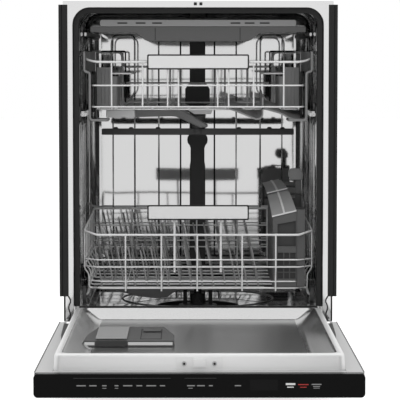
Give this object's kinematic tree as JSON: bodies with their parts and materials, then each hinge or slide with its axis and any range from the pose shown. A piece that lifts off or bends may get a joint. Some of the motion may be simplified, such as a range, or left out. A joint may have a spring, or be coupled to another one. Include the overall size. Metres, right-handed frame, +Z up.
{
  "type": "built-in dishwasher",
  "caption": "Built-in dishwasher: steel tub on a base with feet, drop-down door with edge controls, sliding wire racks, spray arms and cutlery basket.",
  "frame": {"origin": "on the floor under the middle of the machine's box with its door open", "axes": "+X to the right seen from the front, +Y from the open door into the cabinet, +Z up"},
  "size_m": [0.606, 1.31, 0.85],
  "materials": {
    "tub_steel": "bright polished sheet",
    "liner_steel": "satin sheet",
    "door_steel": "brushed",
    "gasket_rubber": "matte",
    "black_trim": "fine ribbed",
    "black_panel": "gloss",
    "blanket": "pressed felt",
    "zinc_steel": "zinc plated",
    "foot_plastic": "moulded",
    "dark_plastic": "moulded",
    "arm_plastic": "moulded",
    "white_plastic": "moulded",
    "circuit_board": "lacquered",
    "heater_steel": "heat tinted",
    "grey_plastic": "moulded",
    "rail_steel": "satin",
    "wire": "nylon coated",
    "silver_trim": "silver lacquer"
  },
  "bodies": {
    "cabinet": {"tub_wrapper": "tub_steel", "tub_back_panel": "tub_steel", "tub_floor": "tub_steel", "door_gasket": "gasket_rubber", "side_trims": "black_trim", "tub_insulation": "blanket", "base_frame": "zinc_steel", "leveling_feet": "foot_plastic", "toe_panel": "black_trim", "sump": "dark_plastic", "circulation_pump": "dark_plastic", "drain_pump": "dark_plastic", "inlet_valve": "white_plastic", "junction_box": "zinc_steel", "heater_element": "heater_steel", "feed_conduit": "dark_plastic", "hinge_brackets": "zinc_steel", "counter_brackets": "zinc_steel", "upper_rack_rollers": "grey_plastic", "third_rack_rollers": "grey_plastic", "latch_strike": "zinc_steel"},
    "filter": {"filter_cylinder": "dark_plastic"},
    "float": {"overflow_float": "white_plastic"},
    "lower_arm": {"lower_spray_arm": "arm_plastic"},
    "ceiling_rotor": {"ceiling_spray_rotor": "arm_plastic"},
    "door": {"door_outer_panel": "door_steel", "door_inner_panel": "liner_steel", "control_panel": "black_panel", "control_board": "circuit_board", "pocket_handle": "black_panel", "dispenser_body": "grey_plastic", "door_screws": "zinc_steel", "hinge_arms": "zinc_steel", "door_bottom_seal": "gasket_rubber"},
    "detergent_lid": {"detergent_lid": "grey_plastic"},
    "rinse_cap": {"rinse_cap": "grey_plastic"},
    "latch": {"latch_bolt": "zinc_steel"},
    "lower_rack": {"lower_rack_floor": "wire", "lower_rack_walls": "wire", "lower_rack_handle": "silver_trim", "fixed_tines": "wire"},
    "front_wheels": {"lower_wheels_front": "grey_plastic"},
    "rear_wheels": {"lower_wheels_rear": "grey_plastic"},
    "tines_left": {"folding_tines_left": "wire"},
    "tines_right": {"folding_tines_right": "wire"},
    "basket": {"cutlery_basket": "dark_plastic"},
    "basket_lid_front": {"basket_lid_front": "dark_plastic"},
    "basket_lid_rear": {"basket_lid_rear": "dark_plastic"},
    "upper_rails": {"upper_rails": "rail_steel"},
    "upper_carriage": {"upper_adjusters": "dark_plastic"},
    "upper_rack": {"upper_rack_floor": "wire", "upper_rack_walls": "wire", "upper_rack_handle": "silver_trim", "spray_manifold": "dark_plastic"},
    "mid_arm": {"mid_spray_arm": "arm_plastic"},
    "cup_shelf_left": {"cup_shelf_left": "wire"},
    "cup_shelf_right": {"cup_shelf_right": "wire"},
    "third_rack": {"third_rack_tray": "wire", "third_rack_fascia": "dark_plastic", "third_rack_trim": "silver_trim"}
  },
  "joints": [
    {"name": "door_hinge", "type": "hinge", "parent": "cabinet", "child": "door", "pos_m": [0, 0.065, 0.142], "axis": [1, 0, 0], "range_deg": [-90, 0]},
    {"name": "detergent_lid_slide", "type": "slide", "parent": "door", "child": "detergent_lid", "axis": [0, 1, 0], "range_m": [0, 0.034]},
    {"name": "rinse_cap_turn", "type": "hinge", "parent": "door", "child": "rinse_cap", "pos_m": [-0.094, -0.241, 0.178], "axis": [0, 0, 1], "range_deg": [0, 90]},
    {"name": "latch_press", "type": "slide", "parent": "door", "child": "latch", "axis": [0, 1, 0], "range_m": [0, 0.005], "stiffness_N_per_m": 400},
    {"name": "lower_rack_slide", "type": "slide", "parent": "cabinet", "child": "lower_rack", "axis": [0, -1, 0], "range_m": [0, 0.48]},
    {"name": "front_wheels_roll", "type": "hinge", "parent": "lower_rack", "child": "front_wheels", "pos_m": [0, 0.18, 0.2003], "axis": [1, 0, 0], "range_deg": [0, 1600]},
    {"name": "rear_wheels_roll", "type": "hinge", "parent": "lower_rack", "child": "rear_wheels", "pos_m": [0, 0.54, 0.2003], "axis": [1, 0, 0], "range_deg": [0, 1600]},
    {"name": "tines_left_fold", "type": "hinge", "parent": "lower_rack", "child": "tines_left", "pos_m": [-0.19, 0.345, 0.22455], "axis": [0, 1, 0], "range_deg": [0, 55]},
    {"name": "tines_right_fold", "type": "hinge", "parent": "lower_rack", "child": "tines_right", "pos_m": [-0.115, 0.345, 0.22455], "axis": [0, 1, 0], "range_deg": [0, 55]},
    {"name": "basket_lift", "type": "slide", "parent": "lower_rack", "child": "basket", "axis": [0, 0, 1], "range_m": [0, 0.06]},
    {"name": "basket_lid_front_hinge", "type": "hinge", "parent": "basket", "child": "basket_lid_front", "pos_m": [0.236, 0.198, 0.3951], "axis": [0, 0.9816, 0.1911], "range_deg": [0, 95]},
    {"name": "basket_lid_rear_hinge", "type": "hinge", "parent": "basket", "child": "basket_lid_rear", "pos_m": [0.236, 0.359, 0.4265], "axis": [0, 0.9816, 0.1911], "range_deg": [0, 95]},
    {"name": "upper_rack_slide", "type": "slide", "parent": "cabinet", "child": "upper_carriage", "axis": [0, -1, 0], "range_m": [0, 0.44]},
    {"name": "upper_rails_slide", "type": "slide", "parent": "cabinet", "child": "upper_rails", "axis": [0, -1, 0], "range_m": [0, 0.22]},
    {"name": "upper_rack_height", "type": "slide", "parent": "upper_carriage", "child": "upper_rack", "axis": [0, 0, 1], "range_m": [-0.05, 0]},
    {"name": "mid_arm_spin", "type": "hinge", "parent": "upper_rack", "child": "mid_arm", "pos_m": [0, 0.36, 0.557], "axis": [0, 0, 1], "continuous": true},
    {"name": "cup_shelf_left_fold", "type": "hinge", "parent": "upper_rack", "child": "cup_shelf_left", "pos_m": [-0.2281, 0.34, 0.692], "axis": [0, -1, 0], "range_deg": [0, 50]},
    {"name": "cup_shelf_right_fold", "type": "hinge", "parent": "upper_rack", "child": "cup_shelf_right", "pos_m": [0.2281, 0.34, 0.692], "axis": [0, 1, 0], "range_deg": [0, 50]},
    {"name": "third_rack_slide", "type": "slide", "parent": "cabinet", "child": "third_rack", "axis": [0, -1, 0], "range_m": [0, 0.42]},
    {"name": "lower_arm_spin", "type": "hinge", "parent": "cabinet", "child": "lower_arm", "pos_m": [0, 0.37, 0.203], "axis": [0, 0, 1], "continuous": true},
    {"name": "ceiling_rotor_spin", "type": "hinge", "parent": "cabinet", "child": "ceiling_rotor", "pos_m": [0, 0.36, 0.815], "axis": [0, 0, 1], "continuous": true},
    {"name": "filter_twist", "type": "hinge", "parent": "cabinet", "child": "filter", "pos_m": [0, 0.37, 0.166], "axis": [0, 0, 1], "range_deg": [0, 90]},
    {"name": "float_rise", "type": "slide", "parent": "cabinet", "child": "float", "axis": [0, 0, 1], "range_m": [0, 0.01]}
  ],
  "couplings": [
    {"joint": "front_wheels_roll", "follows": "lower_rack_slide", "rad_per_m": 55.556},
    {"joint": "rear_wheels_roll", "follows": "lower_rack_slide", "rad_per_m": 55.556},
    {"joint": "upper_rails_slide", "follows": "upper_rack_slide", "ratio": 0.5}
  ]
}
